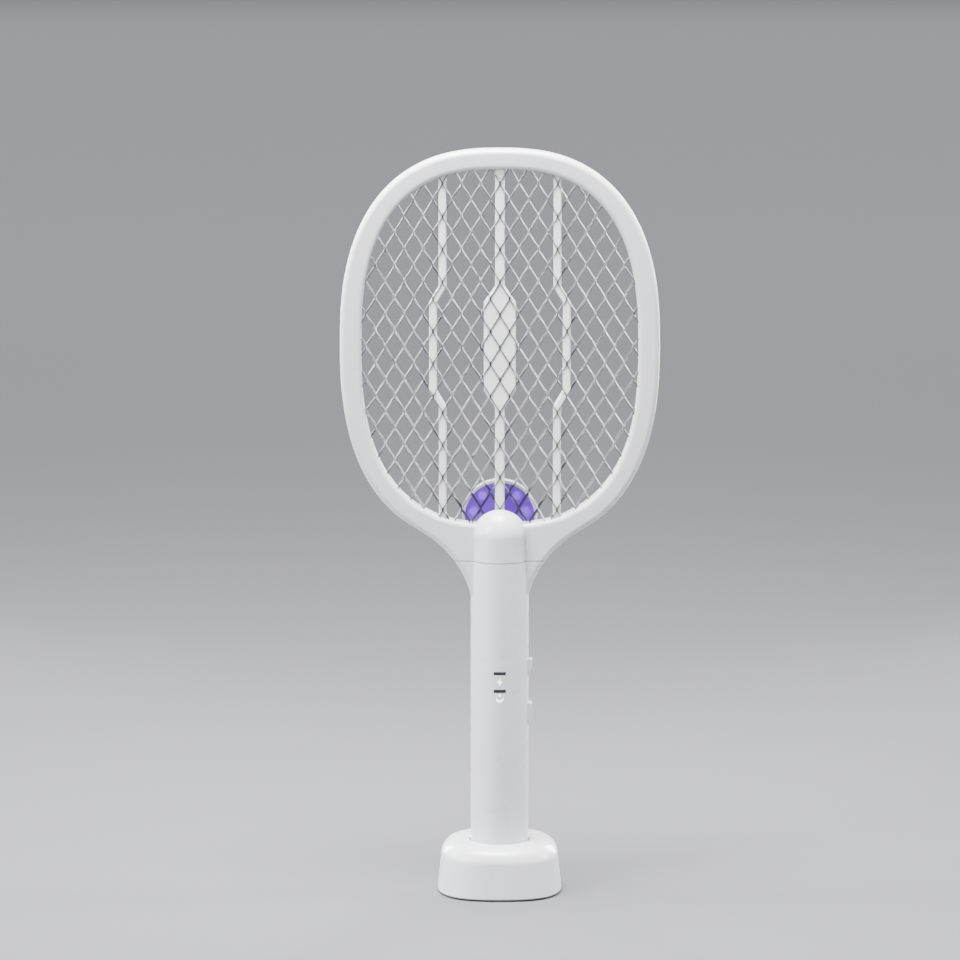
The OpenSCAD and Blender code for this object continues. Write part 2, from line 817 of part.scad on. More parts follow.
// A socket for a charging lead: a metal sleeve with a tongue in it.
module dock_usb_inlet() {
    depth = 7.3;
    back = inlet_front - depth;
    middle = dock_board_top + inlet_h / 2;
    color("silver") {
        difference() {
            translate([0, inlet_front, middle]) rotate([90, 0, 0]) linear_extrude(depth)
                rounded(inlet_w, inlet_h, inlet_h / 2 - 0.1);
            translate([0, inlet_front + 1, middle]) rotate([90, 0, 0]) linear_extrude(depth)
                rounded(inlet_w - 0.8, inlet_h - 0.8, inlet_h / 2 - 0.5);
        }
        box([-3.3, back, middle - 0.35], [3.3, inlet_front - 0.8, middle + 0.35]);
    }
}
module dock_pin_barrels() {
    color("gold") for (x = [-contact_x, contact_x]) difference() {
        rod_z(x, 0, barrel_r, dock_board_top, handle_z - 0.2);
        rod_z(x, 0, pin_r + 0.05, dock_board_top + 0.3, handle_z + 1);
    }
}
module charge_pin(x) {
    color("gold") rod_z(x, 0, pin_r, dock_board_top + 0.5 + pin_travel, contact_z - 0.05);
}
module charge_pin_left() {
    charge_pin(-contact_x);
}
module charge_pin_right() {
    charge_pin(contact_x);
}

dock_shell();
dock_base_plate();
dock_foot_pad();
dock_board();
dock_usb_inlet();
dock_pin_barrels();
dock_screws();
charge_pin_left();
charge_pin_right();
head_front_frame();
head_rear_frame();
front_net();
rear_net();
live_net();
front_rib_carrier();
rear_rib_carrier();
head_screws();
lamp_cover();
lamp_lens();
lamp_board();
lamp_leds();
handle_front_shell();
handle_rear_shell();
handle_end_cap();
charge_contacts();
handle_screws();
battery_cell();
battery_tabs();
main_board();
step_up_transformer();
high_voltage_capacitor();
board_components();
board_chips();
slide_switch_housing();
press_switch_housing();
indicator_leds();
indicator_light_pipes();
battery_lead_red();
battery_lead_black();
charge_leads();
high_voltage_leads();
lamp_leads();
mode_slider_knob();
slide_switch_lever();
press_button();
press_switch_plunger();
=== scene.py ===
import math

import bpy
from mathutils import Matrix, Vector


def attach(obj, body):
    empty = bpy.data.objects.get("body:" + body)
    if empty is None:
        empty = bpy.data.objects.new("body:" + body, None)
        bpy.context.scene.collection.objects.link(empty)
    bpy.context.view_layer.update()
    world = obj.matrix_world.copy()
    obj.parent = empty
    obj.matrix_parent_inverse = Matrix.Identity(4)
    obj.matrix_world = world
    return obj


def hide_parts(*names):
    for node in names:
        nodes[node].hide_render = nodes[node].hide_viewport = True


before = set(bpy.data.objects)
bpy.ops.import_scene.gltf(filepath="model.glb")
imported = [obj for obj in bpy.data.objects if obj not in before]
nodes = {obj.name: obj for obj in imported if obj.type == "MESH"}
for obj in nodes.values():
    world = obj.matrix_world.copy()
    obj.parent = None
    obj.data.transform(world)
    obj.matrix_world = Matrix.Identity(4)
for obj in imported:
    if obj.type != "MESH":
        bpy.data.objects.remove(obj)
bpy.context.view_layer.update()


# ---- Studio ----
# A pale sweep of floor, a soft light overhead and a key on the left that model the round handle,
# panels at the sides and faint ones behind that draw the bright edges, and a weak fill in front.

def pick(obj):
    """Makes obj the only selected object and the active one."""
    bpy.ops.object.select_all(action="DESELECT")
    obj.select_set(True)
    bpy.context.view_layer.objects.active = obj


view_pitch = math.radians(9)
view_distance = 2.5
view_width = 0.5438
view_target = Vector((-0.0112, 0, 0.2370))
bpy.ops.object.camera_add(
    location=view_target + view_distance * Vector((0, -math.cos(view_pitch), math.sin(view_pitch))),
    rotation=(math.pi / 2 - view_pitch, 0, 0),
)
camera = bpy.context.object
camera.name = "studio_camera"
camera.data.sensor_width = 36
camera.data.lens = camera.data.sensor_width * view_distance / view_width
camera.data.clip_end = 60
bpy.context.scene.camera = camera

bpy.ops.mesh.primitive_plane_add(size=40)
floor = bpy.context.object
floor.name = "studio_floor"
floor_paint = bpy.data.materials.new("floor_paint")
floor_paint.use_nodes = True
floor_shader = floor_paint.node_tree.nodes["Principled BSDF"]
floor_shader.inputs["Base Color"].default_value = (0.135, 0.135, 0.145, 1)
floor_shader.inputs["Roughness"].default_value = 0.8
floor_shader.inputs["Specular IOR Level"].default_value = 0
floor.data.materials.append(floor_paint)

world = bpy.data.worlds.new("studio_air")
world.use_nodes = True
world.node_tree.nodes["Background"].inputs["Color"].default_value = (0.82, 0.83, 0.88, 1)
world.node_tree.nodes["Background"].inputs["Strength"].default_value = 0.3
bpy.context.scene.world = world


def softbox(name, place, aim, width, height, watts, spread=180):
    """A rectangular soft light that faces the point aim and shines within spread degrees."""
    bpy.ops.object.light_add(type="AREA", location=place)
    light = bpy.context.object
    light.name = name
    light.rotation_euler = (Vector(aim) - Vector(place)).to_track_quat("-Z", "Y").to_euler()
    light.data.shape = "RECTANGLE"
    light.data.size = width
    light.data.size_y = height
    light.data.energy = watts
    light.data.spread = math.radians(spread)


middle = (0, 0, 0.26)
softbox("overhead_light", (-0.1, -0.1, 1.15), middle, 0.6, 0.4, 85)
softbox("left_key", (-1.15, -0.8, 0.95), (0, 0, 0.32), 0.4, 0.6, 28)
softbox("left_side_light", (-1.2, 0.12, 0.6), (0, 0, 0.36), 0.25, 0.6, 22)
softbox("right_side_light", (1.2, 0.15, 0.6), (0, 0, 0.36), 0.25, 0.6, 24)
softbox("left_edge_light", (-0.6, 0.95, 0.45), middle, 0.12, 0.8, 3.0, 60)
softbox("right_edge_light", (0.6, 0.95, 0.45), middle, 0.12, 0.8, 4.0, 60)
softbox("front_fill", (0.1, -2.3, 0.9), middle, 1.0, 0.8, 13)
softbox("backdrop_light", (0, 6, 5), (0, 6, 0), 16, 10, 1300, 60)


# ---- White mouldings ----
# The shells of the head, the handle and the dock are injection moulded ABS, white with a faint
# cool cast and a satin gloss; the tool leaves a very fine orange peel on them.

def surface(name, light, dark, gloss, metal=0.0, patch=18, grain=0.00002, pores=1400, stretch=(1, 1, 1)):
    """A surface with a slow drift of shade, an uneven gloss and a fine grain, drawn out by stretch."""
    material = bpy.data.materials.new(name)
    material.use_nodes = True
    tree = material.node_tree
    shader = tree.nodes["Principled BSDF"]
    shader.inputs["Metallic"].default_value = metal
    place = tree.nodes.new("ShaderNodeTexCoord")
    scale = tree.nodes.new("ShaderNodeMapping")
    scale.inputs["Scale"].default_value = stretch
    drift = tree.nodes.new("ShaderNodeTexNoise")
    drift.inputs["Scale"].default_value = patch
    drift.inputs["Detail"].default_value = 3
    shade = tree.nodes.new("ShaderNodeValToRGB")
    shade.color_ramp.elements[0].position = 0.3
    shade.color_ramp.elements[0].color = (*dark, 1)
    shade.color_ramp.elements[1].position = 0.7
    shade.color_ramp.elements[1].color = (*light, 1)
    haze = tree.nodes.new("ShaderNodeTexNoise")
    haze.inputs["Scale"].default_value = patch * 3
    haze.inputs["Detail"].default_value = 5
    polish = tree.nodes.new("ShaderNodeMapRange")
    polish.inputs["To Min"].default_value = gloss - 0.05
    polish.inputs["To Max"].default_value = gloss + 0.05
    peel = tree.nodes.new("ShaderNodeTexNoise")
    peel.inputs["Scale"].default_value = pores
    peel.inputs["Detail"].default_value = 2
    bump = tree.nodes.new("ShaderNodeBump")
    bump.inputs["Strength"].default_value = 0.3
    bump.inputs["Distance"].default_value = grain
    link = tree.links.new
    link(place.outputs["Object"], scale.inputs["Vector"])
    for noise in (drift, haze, peel):
        link(scale.outputs["Vector"], noise.inputs["Vector"])
    link(drift.outputs["Fac"], shade.inputs["Fac"])
    link(shade.outputs["Color"], shader.inputs["Base Color"])
    link(haze.outputs["Fac"], polish.inputs["Value"])
    link(polish.outputs["Result"], shader.inputs["Roughness"])
    link(peel.outputs["Fac"], bump.inputs["Height"])
    link(bump.outputs["Normal"], shader.inputs["Normal"])
    return material


white_abs = surface("white_abs", (0.64, 0.645, 0.665), (0.615, 0.62, 0.645), 0.28)


def finish(obj, name, body, material, replaced=(), smooth=35):
    """Settles a piece's place into its mesh, shades and paints it, and ties it to its CAD body."""
    pick(obj)
    bpy.ops.object.transform_apply(location=True, rotation=True, scale=True)
    bpy.ops.object.shade_smooth_by_angle(angle=math.radians(smooth))
    even = obj.modifiers.new("even_shading", "WEIGHTED_NORMAL")
    even.keep_sharp = True
    bpy.ops.object.modifier_apply(modifier=even.name)
    obj.name = name
    obj.data.name = name
    obj.data.materials.clear()
    obj.data.materials.append(material)
    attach(obj, body)
    if replaced:
        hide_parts(*replaced)
    return obj


# ---- Head and handle halves ----
# The racket is two half shells, front and back, each moulded with a 2 mm wall. The outline is a
# superellipse that runs down a straight flank and a hollow curve into the round handle; the
# shells are parted across the throat, where the head ends and the handle's own shells begin.

half_thick = 0.007
wall = 0.002
parting = 0.00006
beyond = 0.03
edge_round, lip_round, lip_grow = 0.003, 0.0014, 0.0025
handle_r = 0.0165
bore_r = handle_r - wall
dome_z = 0.205
seam_z = 0.1918
seam_gap = 0.0004
neck_foot_z, neck_top_z = 0.168, 0.1968
neck_r, neck_top_r, neck_bore_r = 0.0142, 0.015, 0.0124
handle_foot_z = 0.013
head_mid_z = 0.3143
head_a, head_up, head_down, head_n = 0.090, 0.1107, 0.1142, 2.5
flank_angle = math.radians(57.5)
flank_length = 0.011
throat_r = 0.059
open_mid_z = 0.312
open_a, open_up, open_down, open_n = 0.0782, 0.1018, 0.100, 2.6
net_seat = 0.005
flank_ratio = (math.tan(flank_angle) * head_down / head_a) ** (1 / (head_n - 1))
flank_u = (1 + flank_ratio**head_n) ** (-1 / head_n)
flank_turn = -math.asin((flank_u * flank_ratio) ** (head_n / 2))
flank_start = Vector((head_a * flank_u, head_mid_z - head_down * flank_u * flank_ratio))
flank_end = flank_start - flank_length * Vector((math.sin(flank_angle), math.cos(flank_angle)))
throat_centre = flank_end + throat_r * Vector((math.cos(flank_angle), -math.sin(flank_angle)))
throat_stop = math.acos((throat_centre.x - handle_r) / throat_r)


def power(value, exponent):
    """A power of the size of value that keeps its sign."""
    return math.copysign(abs(value) ** exponent, value)


def head_outline(inset):
    """Corners of the racket's outline in X and Z, clockwise from the top, moved in by inset."""
    right = []
    for i in range(151):
        t = math.pi / 2 + (flank_turn - math.pi / 2) * i / 150
        drop = head_up if t > 0 else head_down
        right.append(((head_a - inset) * power(math.cos(t), 2 / head_n),
                      head_mid_z + (drop - inset) * power(math.sin(t), 2 / head_n)))
    for i in range(31):
        t = flank_angle + (throat_stop - flank_angle) * i / 30
        right.append((throat_centre.x - (throat_r + inset) * math.cos(t),
                      throat_centre.y + (throat_r + inset) * math.sin(t)))
    x, z = right[-1]
    across = [(x * k / 4, z) for k in (3, 2, 1, 0, -1, -2, -3)]
    return right + across + [(-px, pz) for px, pz in reversed(right[1:])]


def opening_outline(grow, like):
    """The opening's edge, moved out by grow, at the bearings of the outline like."""
    points = []
    for x, z in like:
        bearing = math.atan2(z - open_mid_z, x)
        a = open_a + grow
        b = (open_up if bearing > 0 else open_down) + grow
        t = math.atan2(power(math.sin(bearing) / b, open_n / 2), power(math.cos(bearing) / a, open_n / 2))
        points.append((a * power(math.cos(t), 2 / open_n), open_mid_z + b * power(math.sin(t), 2 / open_n)))
    return points


def loft(name, rings, closed=True):
    """A mesh through rings that all have the same number of corners; closed joins last to first."""
    count = len(rings[0])
    steps = len(rings) if closed else len(rings) - 1
    corners = [p for ring in rings for p in ring]
    faces = []
    for k in range(steps):
        near, far = k * count, (k + 1) % len(rings) * count
        for i in range(count):
            j = (i + 1) % count
            faces.append((near + i, near + j, far + j, far + i))
    if not closed:
        faces.append(tuple(range(count)))
        faces.append(tuple(range((len(rings) - 1) * count, len(rings) * count)))
    mesh = bpy.data.meshes.new(name)
    mesh.from_pydata(corners, [], faces)
    obj = bpy.data.objects.new(name, mesh)
    bpy.context.scene.collection.objects.link(obj)
    pick(obj)
    bpy.ops.object.mode_set(mode="EDIT")
    bpy.ops.mesh.select_all(action="SELECT")
    bpy.ops.mesh.normals_make_consistent(inside=False)
    bpy.ops.object.mode_set(mode="OBJECT")
    return obj


def turned(profile, steps=128, place=(0, 0, 0), axis="Z"):
    """A round solid, spun from a profile of radius and height that starts and ends on its axis."""
    mesh = bpy.data.meshes.new("turned")
    mesh.from_pydata([(r, 0, h) for r, h in profile], [(i, i + 1) for i in range(len(profile) - 1)], [])
    obj = bpy.data.objects.new("turned", mesh)
    bpy.context.scene.collection.objects.link(obj)
    pick(obj)
    bpy.ops.object.mode_set(mode="EDIT")
    bpy.ops.mesh.select_all(action="SELECT")
    bpy.ops.mesh.spin(steps=steps, angle=2 * math.pi, center=(0, 0, 0), axis=(0, 0, 1))
    bpy.ops.mesh.select_all(action="SELECT")
    bpy.ops.mesh.remove_doubles(threshold=1e-6)
    bpy.ops.mesh.normals_make_consistent(inside=False)
    bpy.ops.object.mode_set(mode="OBJECT")
    if axis == "Y":
        obj.rotation_euler = (-math.pi / 2, 0, 0)
    if axis == "X":
        obj.rotation_euler = (0, math.pi / 2, 0)
    obj.location = place
    bpy.ops.object.transform_apply(location=True, rotation=True, scale=True)
    return obj


def combine(obj, other, operation="DIFFERENCE"):
    """Cuts, joins or intersects two closed meshes; the second is used up."""
    pick(obj)
    change = obj.modifiers.new("change", "BOOLEAN")
    change.operation = operation
    change.object = other
    change.solver = "EXACT"
    bpy.ops.object.modifier_apply(modifier=change.name)
    bpy.data.objects.remove(other)
    bpy.ops.object.mode_set(mode="EDIT")
    bpy.ops.mesh.select_all(action="SELECT")
    bpy.ops.mesh.remove_doubles(threshold=1e-6)
    bpy.ops.mesh.dissolve_degenerate(threshold=1e-6)
    bpy.ops.object.mode_set(mode="OBJECT")
    return obj


def block(low, high):
    """A box between two corners."""
    low, high = Vector(low), Vector(high)
    bpy.ops.mesh.primitive_cube_add(size=1, location=(low + high) / 2)
    cube = bpy.context.object
    cube.scale = high - low
    pick(cube)
    bpy.ops.object.transform_apply(location=True, rotation=True, scale=True)
    return cube


def twin(obj):
    """A copy of obj with its own mesh."""
    other = obj.copy()
    other.data = obj.data.copy()
    bpy.context.scene.collection.objects.link(other)
    return other


def bar(r, low, domed):
    """A round bar that ends at the dome's centre, flat or with a half ball on it."""
    turns = [math.radians(a) for a in range(0, 90, 5)]
    ball = [(r * math.cos(t), dome_z + r * math.sin(t)) for t in turns] + [(0, dome_z + r)]
    end = ball if domed else [(r, dome_z), (0, dome_z)]
    return turned([(0, low), (r, low)] + end)


def keep_side(obj, side):
    """Keeps what lies in front of the parting plane (side -1) or behind it (side 1)."""
    near, far = sorted((side * parting, side * beyond))
    return combine(obj, block((-beyond, near, 0), (beyond, far, 0.3)), "INTERSECT")


def racket_half(side):
    """The whole front half (side -1) or back half (side 1) of the racket's skin."""
    outline = head_outline(0)
    rings = [(head_outline(0.0003), parting), (outline, 0.0004), (outline, 0.004)]
    for k in range(1, 9):
        a = math.radians(90 * k / 8)
        rings.append((head_outline(edge_round * (1 - math.cos(a))), 0.004 + edge_round * math.sin(a)))
    for k in range(7):
        a = math.radians(15 * k)
        rings.append((opening_outline(lip_grow * (1 - math.sin(a)), outline), 0.0056 + lip_round * math.cos(a)))
    rings.append((opening_outline(0, outline), net_seat))
    rings.append((head_outline(wall), net_seat))
    rings.append((head_outline(wall), parting))
    half = loft("half", [[(x, side * y, z) for x, z in ring] for ring, y in rings])
    skin = bar(handle_r, handle_foot_z, side < 0)
    keep_side(skin, side)
    gap = opening_outline(0.0032, outline)
    low, high = sorted((-side * 0.001, side * net_seat))
    combine(skin, loft("gap", [[(x, y, z) for x, z in gap] for y in (low, high)], closed=False))
    combine(half, skin, "UNION")
    return combine(half, bar(bore_r, handle_foot_z - 0.001, side < 0))


def neck(side):
    """Half of the tube that reaches from the head down into the handle."""
    tube = turned([(0, neck_foot_z), (neck_r, neck_foot_z), (neck_r, seam_z), (neck_top_r, seam_z),
                   (neck_top_r, neck_top_z), (0, neck_top_z)])
    combine(tube, turned([(0, 0.16), (neck_bore_r, 0.16), (neck_bore_r, 0.2), (0, 0.2)]))
    return keep_side(tube, side)


head_above = ((-0.1, -beyond, seam_z), (0.1, beyond, 0.5))
handle_below = ((-0.1, -beyond, 0), (0.1, beyond, seam_z - seam_gap))
button_z = 0.103
button_slot_high, button_slot_wide = 0.0129, 0.0095
slider_z = 0.13
slider_slot_high, slider_slot_wide = 0.0094, 0.0038
window_z = (0.1284, 0.1182)
window_wide, window_high = 0.007, 0.002
pod_z, pod_r = 0.2145, 0.0215
recess_r = 0.0024
screw_inset = 0.0051
head_screws = []
for turn in (90, 45, 0, -38, 135, 180, 218):
    t = math.radians(turn)
    drop = head_up if math.sin(t) >= 0 else head_down
    head_screws.append(((head_a - screw_inset) * power(math.cos(t), 2 / head_n),
                        head_mid_z + (drop - screw_inset) * power(math.sin(t), 2 / head_n)))
head_screws += [(-0.025, 0.201), (0.025, 0.201)]
handle_screws = [(0, 0.0205), (0, 0.0946), (-0.008, 0.180), (0.008, 0.180)]


def cut_controls(shell):
    """Cuts the openings for the press button and for the slider's stem."""
    for z, high, wide in ((button_z, button_slot_high, button_slot_wide),
                          (slider_z, slider_slot_high, slider_slot_wide)):
        combine(shell, block((0.0105, -wide / 2, z - high / 2), (0.0175, wide / 2, z + high / 2)))


front_half = racket_half(-1)
handle_front = twin(front_half)
combine(front_half, block(*head_above), "INTERSECT")
combine(front_half, neck(-1), "UNION")
finish(front_half, "front_head_frame", "swatter", white_abs, ["head_front_frame"])
combine(handle_front, block(*handle_below), "INTERSECT")
cut_controls(handle_front)
for z in window_z:
    combine(handle_front, block((-window_wide / 2, -0.018, z - window_high / 2),
                                (window_wide / 2, -0.01, z + window_high / 2)))
finish(handle_front, "front_handle_shell", "swatter", white_abs, ["handle_front_shell"])

rear_half = racket_half(1)
combine(rear_half, turned([(0, 0), (pod_r + 0.0001, 0), (pod_r + 0.0001, 0.012), (0, 0.012)],
                          place=(0, half_thick, pod_z), axis="Y"))
handle_rear = twin(rear_half)
combine(rear_half, block(*head_above), "INTERSECT")
combine(rear_half, neck(1), "UNION")
for x, z in head_screws:
    recess = [(0, 0), (recess_r, 0), (recess_r, 0.002), (recess_r + 0.0004, 0.0024), (0, 0.0024)]
    combine(rear_half, turned(recess, 40, (x, half_thick - 0.0016, z), "Y"))
finish(rear_half, "rear_head_frame", "swatter", white_abs, ["head_rear_frame"])
combine(handle_rear, block(*handle_below), "INTERSECT")
cut_controls(handle_rear)
for x, z in handle_screws:
    combine(handle_rear, turned([(0, 0), (recess_r, 0), (recess_r, 0.01), (0, 0.01)], 40, (x, 0.011, z), "Y"))
finish(handle_rear, "rear_handle_shell", "swatter", white_abs, ["handle_rear_shell"])


# ---- Shock nets ----
# Three nets of expanded steel stand one behind the other in the opening: an earthed one at the
# front, the live one in the middle and an earthed one at the back. Each is a sheet slit and
# drawn out, so its strands run in zigzags and meet at short bonds; a plain rim is clamped.

joint_z = 0.3132
diamond_wide, diamond_high = 0.01077, 0.0185
strand_wide, strand_thick = 0.0005, 0.0005
bond_long = 0.0017
rim_grow = 0.0028
net_y = 0.0047


def galvanised(name, light, dark, gloss):
    """Rolled steel: bright metal, clouded by its zinc and drawn along the strands."""
    return surface(name, light, dark, gloss, metal=1.0, patch=130, grain=0.00001, pores=2600,
                   stretch=(1, 1, 0.4))


net_steel = galvanised("net_steel", (0.12, 0.12, 0.135), (0.07, 0.07, 0.08), 0.38)
live_steel = galvanised("live_steel", (0.09, 0.09, 0.105), (0.06, 0.06, 0.07), 0.4)


def in_opening(x, z, grow):
    """Whether a point lies inside the opening's edge moved out by grow."""
    a = open_a + grow
    b = (open_up if z > open_mid_z else open_down) + grow
    return (abs(x) / a) ** open_n + (abs(z - open_mid_z) / b) ** open_n <= 1


def strand_runs(column):
    """The stretches of one zigzag strand that lie inside the rim, as points with a lift in Y."""
    left = column * diamond_wide / 2 + strand_wide / 2
    right = (column + 1) * diamond_wide / 2 - strand_wide / 2
    path = []
    for row in range(-12, 13):
        z = joint_z + row * diamond_high / 2
        x, other = (left, right) if (column + row) % 2 == 0 else (right, left)
        path += [(x, z - bond_long / 2, 1), (x, z + bond_long / 2, 1),
                 ((x + other) / 2, z + diamond_high / 4, 0)]
    runs, run = [], []
    for near, far in zip(path, path[1:]):
        near_in, far_in = in_opening(*near[:2], rim_grow), in_opening(*far[:2], rim_grow)
        if near_in:
            run.append(near)
        if near_in != far_in:
            low, high = 0.0, 1.0
            for _ in range(12):
                cut = (low + high) / 2
                point = [a + (b - a) * cut for a, b in zip(near, far)]
                if in_opening(*point[:2], rim_grow) == near_in:
                    low = cut
                else:
                    high = cut
            run.append(tuple(point))
            if near_in:
                runs.append(run)
                run = []
    return [r for r in runs if len(r) > 1]


def net(name, y, lift, replaced, material):
    """One net: every strand is a flat bar with soft edges, swept along its zigzag."""
    profile = [(-1, 0), (-0.62, 1), (0.62, 1), (1, 0), (0.62, -1), (-0.62, -1)]
    corners, faces = [], []
    for column in range(-16, 16):
        for run in strand_runs(column):
            first = len(corners)
            for i, (x, z, raised) in enumerate(run):
                before = Vector(run[max(i - 1, 0)][:2])
                after = Vector(run[min(i + 1, len(run) - 1)][:2])
                here = Vector((x, z))
                turns = [v.normalized() for v in (here - before, after - here) if v.length > 1e-9]
                along = sum(turns, Vector((0, 0))).normalized()
                spread = 1 / max(along.dot(turns[0]), 0.5)
                for wide, thick in profile:
                    out = wide * strand_wide / 2 * spread
                    corners.append((x + along.y * out, y + lift * raised + thick * strand_thick / 2,
                                    z - along.x * out))
            for i in range(len(run) - 1):
                for k in range(6):
                    n = (k + 1) % 6
                    at = first + i * 6
                    faces.append((at + k, at + n, at + 6 + n, at + 6 + k))
            faces.append(tuple(range(first, first + 6)))
            faces.append(tuple(range(len(corners) - 1, len(corners) - 7, -1)))
    mesh = bpy.data.meshes.new(name)
    mesh.from_pydata(corners, [], faces)
    strands = bpy.data.objects.new(name, mesh)
    bpy.context.scene.collection.objects.link(strands)
    outline = head_outline(0)
    half = strand_thick / 2
    rim = loft("rim", [[(px, y + py, pz) for px, pz in opening_outline(grow, outline)] for grow, py in (
        (0.0015, -half), (0.0029, -half), (0.0029, half), (0.0015, half))])
    pick(strands)
    rim.select_set(True)
    bpy.ops.object.join()
    bpy.ops.object.mode_set(mode="EDIT")
    bpy.ops.mesh.select_all(action="SELECT")
    bpy.ops.mesh.normals_make_consistent(inside=False)
    bpy.ops.object.mode_set(mode="OBJECT")
    return finish(strands, name, "swatter", material, replaced, smooth=50)


net("front_shock_net", -net_y, -0.00005, ["front_net"], net_steel)
net("live_shock_net", 0, 0.00005, ["live_net"], live_steel)
net("rear_shock_net", net_y, 0.00005, ["rear_net"], net_steel)


# ---- Rib carriers ----
# Two white rings with three ribs each hold the nets apart. The side ribs step outwards level with
# the lozenge of the middle rib; the mouldings are snapped between the nets, front and back.

carrier_near, carrier_far = 0.0004, 0.0044
side_rib_wide, mid_rib_wide = 0.0043, 0.0054
lozenge_half_wide, lozenge_half_high, lozenge_tip = 0.009, 0.025, 0.009


def soften(obj, width, segments=3, angle=30):
    """Rounds the sharp edges of a mesh."""
    pick(obj)
    edges = obj.modifiers.new("soft_edges", "BEVEL")
    edges.width = width
    edges.segments = segments
    edges.limit_method = "ANGLE"
    edges.angle_limit = math.radians(angle)
    bpy.ops.object.modifier_apply(modifier=edges.name)
    return obj


def rib(outline, near, far):
    """A rib drawn in X and Z, with round edges, that ends in the carrier's ring."""
    piece = soften(loft("rib", [[(x, y, z) for x, z in outline] for y in (near, far)], closed=False), 0.0008, 4)
    ring = opening_outline(0.001, head_outline(0))
    within = loft("within", [[(x, y, z) for x, z in ring] for y in (near - 0.001, far + 0.001)], closed=False)
    return combine(piece, within, "INTERSECT")


# The ribs' white is painted brighter than the shells' white: painted light that makes up for the shade the nets
# cast on them.
rib_abs_painted_bright = surface("rib_abs_painted_bright", (0.88, 0.88, 0.89), (0.85, 0.85, 0.865), 0.34)
lozenge_end = lozenge_half_high + lozenge_tip
side_line = [(3, 0.43), (3, joint_z + lozenge_end), (3.5, joint_z + lozenge_half_high),
             (3.5, joint_z - lozenge_half_high), (3, joint_z - lozenge_end), (3, 0.2)]
lozenge = [(mid_rib_wide / 2, lozenge_end), (lozenge_half_wide, lozenge_half_high),
           (lozenge_half_wide, -lozenge_half_high), (mid_rib_wide / 2, -lozenge_end)]
mid_side = [(mid_rib_wide / 2, 0.43)] + [(x, joint_z + z) for x, z in lozenge] + [(mid_rib_wide / 2, 0.2)]
for name, side in (("front_rib_carrier", -1), ("rear_rib_carrier", 1)):
    near, far = sorted((side * carrier_near, side * carrier_far))
    outline = head_outline(0)
    carrier = loft(name, [[(x, y, z) for x, z in opening_outline(grow, outline)] for grow, y in (
        (0.0003, near), (0, near + 0.0003), (0, far - 0.0003), (0.0003, far), (0.003, far), (0.003, near))])
    ribs = [rib(mid_side + [(-x, z) for x, z in reversed(mid_side)], near, far)]
    for hand in (-1, 1):
        line = [(hand * x * diamond_wide, z) for x, z in side_line]
        ribs.append(rib([(x + side_rib_wide / 2, z) for x, z in line]
                        + [(x - side_rib_wide / 2, z) for x, z in reversed(line)], near, far))
    pick(carrier)
    for piece in ribs:
        piece.select_set(True)
    bpy.ops.object.join()
    finish(carrier, name.replace("carrier", "ring"), "swatter", rib_abs_painted_bright, [name])


# ---- Frame screws ----
# Nine self-tapping screws with cross recesses close the head from the back and four close the
# handle; they are nickel-plated steel.

def softened(node, name, width, body, material, segments=3, angle=30):
    """A copy of a CAD part, merged and cleared of needless edges, with its sharp edges rounded."""
    piece = twin(nodes[node])
    piece.parent = None
    for key in list(piece.keys()):
        del piece[key]
    pick(piece)
    bpy.ops.mesh.customdata_custom_splitnormals_clear()
    bpy.ops.object.mode_set(mode="EDIT")
    bpy.ops.mesh.select_all(action="SELECT")
    bpy.ops.mesh.remove_doubles(threshold=2e-6)
    bpy.ops.mesh.select_all(action="SELECT")
    bpy.ops.mesh.dissolve_limited(angle_limit=math.radians(0.5))
    bpy.ops.object.mode_set(mode="OBJECT")
    soften(piece, width, segments, angle)
    return finish(piece, name, body, material, [node])


screw_steel = surface("screw_steel", (0.66, 0.65, 0.62), (0.52, 0.51, 0.49), 0.28, metal=1.0, patch=240,
                      grain=0.000008, pores=3000)
softened("head_screws", "head_frame_screws", 0.00012, "swatter", screw_steel, 2)
softened("handle_screws", "handle_shell_screws", 0.00012, "swatter", screw_steel, 2)


# ---- Violet lamp ----
# Behind the foot of the net a round pod holds a board with five violet LEDs that lure insects;
# a tinted window closes its front, and the cover is the same white plastic as the shells.

def repaint(node, material):
    """Gives a CAD part that stays as it is its finished material."""
    for place in nodes[node].material_slots:
        place.material = material


def glowing(name, colour, strength, gloss):
    """A tinted clear plastic that glows: lit by the lamp behind it in the lamp's window, and as a painted
    highlight in the handle's marks.
    """
    material = surface(name, colour, tuple(0.8 * c for c in colour), gloss, patch=60)
    shader = material.node_tree.nodes["Principled BSDF"]
    shader.inputs["Emission Color"].default_value = (*colour, 1)
    shader.inputs["Emission Strength"].default_value = strength
    return material


lens_violet = glowing("lens_violet", (0.17, 0.04, 0.60), 0.5, 0.16)
lens_violet.node_tree.nodes["Principled BSDF"].inputs["Alpha"].default_value = 0.7
led_violet = glowing("led_violet", (0.45, 0.22, 1.0), 5.0, 0.2)
board_green = surface("board_green", (0.03, 0.19, 0.08), (0.02, 0.13, 0.06), 0.36, patch=160, pores=900,
                      grain=0.00003)
softened("lamp_cover", "lamp_pod_cover", 0.0003, "swatter", white_abs, 2, 50)
softened("lamp_lens", "lamp_window", 0.0003, "swatter", lens_violet, 2, 50)
repaint("lamp_leds", led_violet)
repaint("lamp_board", board_green)


# ---- Handle end and its charge contacts ----
# A white moulded cap, pushed into the handle's foot, closes it inside the dock. Two gilt discs
# are held in the cap and meet the dock's pins.

contact_gilt = surface("contact_gilt", (0.92, 0.68, 0.30), (0.80, 0.56, 0.22), 0.22, metal=1.0, patch=200,
                       grain=0.000008, pores=2400)
softened("handle_end_cap", "handle_foot_cap", 0.00035, "swatter", white_abs, 2, 50)
softened("charge_contacts", "handle_charge_discs", 0.00008, "swatter", contact_gilt, 2, 50)
